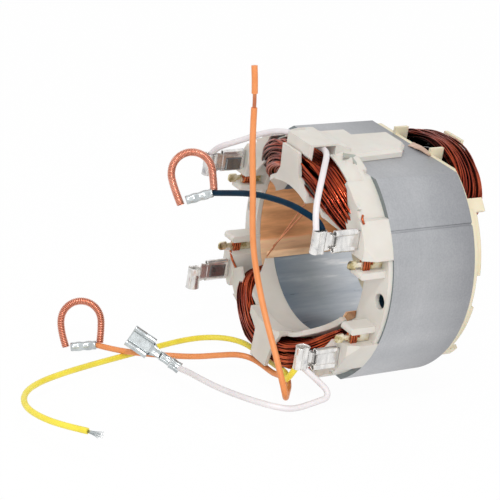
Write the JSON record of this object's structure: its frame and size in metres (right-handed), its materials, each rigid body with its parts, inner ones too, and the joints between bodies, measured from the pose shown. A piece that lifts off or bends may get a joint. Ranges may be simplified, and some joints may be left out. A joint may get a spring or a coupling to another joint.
{
  "type": "wound stator",
  "caption": "Two-pole wound stator of a universal motor: laminated core, moulded end plates, copper field coils, tab terminals and loose leads.",
  "frame": {"origin": "on the bore axis at mid-length of the lamination stack, centre of the two through holes", "axes": "+Y along the bore axis, away from the lead side; +Z along the pole axis, towards the flat with the wire duct; +X towards the right when seen from the lead side"},
  "size_m": [0.0953, 0.1666, 0.1208],
  "materials": {
    "laminations": "satin ground steel",
    "front_moulding": "off-white nylon",
    "rear_moulding": "cream nylon",
    "winding": "enamelled copper",
    "slot_paper": "brown insulating paper",
    "tinned_steel": "bright tin plate",
    "hook_brass": "dull brass",
    "white_insulation": "smooth white insulation",
    "navy_insulation": "smooth dark blue insulation",
    "orange_insulation": "smooth orange insulation",
    "yellow_insulation": "smooth yellow insulation",
    "bare_strands": "bare stranded copper",
    "spring_copper": "copper-coloured spring wire"
  },
  "bodies": {
    "root": {"lamination_stack": "laminations", "front_end_plate": "front_moulding", "rear_end_plate": "rear_moulding", "wire_duct": "front_moulding", "upper_field_coil": "winding", "lower_field_coil": "winding", "right_slot_liner": "slot_paper", "left_slot_liner": "slot_paper", "upper_right_tab_terminal": "tinned_steel", "upper_right_flag_receptacle": "tinned_steel", "upper_right_hook_terminal": "hook_brass", "lower_right_tab_terminal": "tinned_steel", "lower_right_flag_receptacle": "tinned_steel", "lower_right_hook_terminal": "hook_brass", "lower_left_tab_terminal": "tinned_steel", "lower_left_flag_receptacle": "tinned_steel", "lower_left_hook_terminal": "hook_brass", "upper_left_tab_terminal": "tinned_steel", "upper_left_flag_receptacle": "tinned_steel", "upper_left_hook_terminal": "hook_brass", "jumper_lead": "white_insulation", "navy_lead": "navy_insulation", "orange_lead": "orange_insulation", "orange_strands": "bare_strands", "orange_end_sleeve": "orange_insulation", "yellow_lead": "yellow_insulation", "yellow_strands": "bare_strands", "white_lead": "white_insulation", "first_cross_wire": "bare_strands", "second_cross_wire": "bare_strands", "upper_spring_ring": "spring_copper", "upper_splice": "tinned_steel", "lower_spring_ring": "spring_copper", "lower_splice": "tinned_steel", "free_receptacle": "tinned_steel"}
  },
  "joints": []
}
